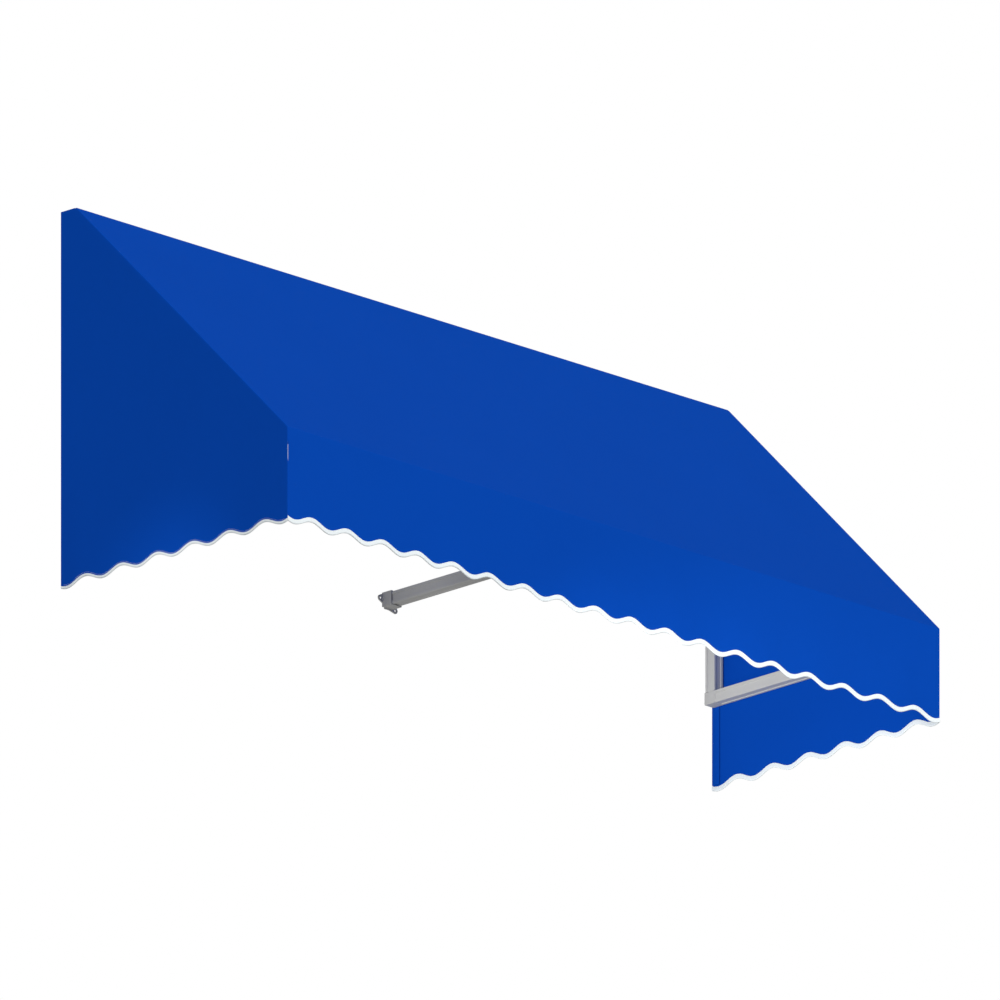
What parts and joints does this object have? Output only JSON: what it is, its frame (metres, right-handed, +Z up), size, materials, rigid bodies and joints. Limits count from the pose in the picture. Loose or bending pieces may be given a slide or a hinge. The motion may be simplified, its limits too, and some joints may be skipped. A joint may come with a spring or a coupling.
{
  "type": "window awning",
  "caption": "Fixed window awning with a straight slope, closed sides and a wavy bound valance, on a frame of square aluminium tubes that fixes to a wall.",
  "frame": {"origin": "on the back face of the middle header bracket, half way down its wall leg, in the plane of the wall", "axes": "+X along the wall, to the right for someone who faces the awning; +Y into the wall; +Z up"},
  "size_m": [1.8304, 0.6291, 0.7833],
  "materials": {
    "frame_aluminium": "mill finish extrusion, satin",
    "cast_aluminium": "cast, slightly rough",
    "screw_steel": "zinc plated",
    "blue_cloth": "plain woven awning canvas, royal blue",
    "white_tape": "woven binding tape, white"
  },
  "bodies": {
    "root": {"header_rail": "frame_aluminium", "front_bar": "frame_aluminium", "left_arm": "frame_aluminium", "right_arm": "frame_aluminium", "centre_arm": "frame_aluminium", "left_post": "frame_aluminium", "right_post": "frame_aluminium", "left_rafter": "frame_aluminium", "right_rafter": "frame_aluminium", "centre_rafter": "frame_aluminium", "left_header_bracket": "frame_aluminium", "centre_header_bracket": "frame_aluminium", "right_header_bracket": "frame_aluminium", "left_post_bracket": "frame_aluminium", "right_post_bracket": "frame_aluminium", "left_header_corner": "cast_aluminium", "right_header_corner": "cast_aluminium", "left_front_corner": "cast_aluminium", "right_front_corner": "cast_aluminium", "left_rear_corner": "cast_aluminium", "right_rear_corner": "cast_aluminium", "centre_rafter_head": "cast_aluminium", "centre_rafter_foot": "cast_aluminium", "centre_arm_flange": "cast_aluminium", "centre_arm_bracket": "cast_aluminium", "left_header_bracket_screw": "screw_steel", "centre_header_bracket_screw": "screw_steel", "right_header_bracket_screw": "screw_steel", "left_post_bracket_screw": "screw_steel", "right_post_bracket_screw": "screw_steel", "centre_arm_bracket_screw": "screw_steel", "centre_rafter_head_screw_left": "screw_steel", "centre_rafter_head_screw_right": "screw_steel", "centre_rafter_foot_screw_left": "screw_steel", "centre_rafter_foot_screw_right": "screw_steel", "centre_arm_flange_screw_left": "screw_steel", "centre_arm_flange_screw_right": "screw_steel", "canopy_panel": "blue_cloth", "left_wing": "blue_cloth", "right_wing": "blue_cloth", "front_binding": "white_tape", "left_binding": "white_tape", "right_binding": "white_tape"}
  },
  "joints": []
}
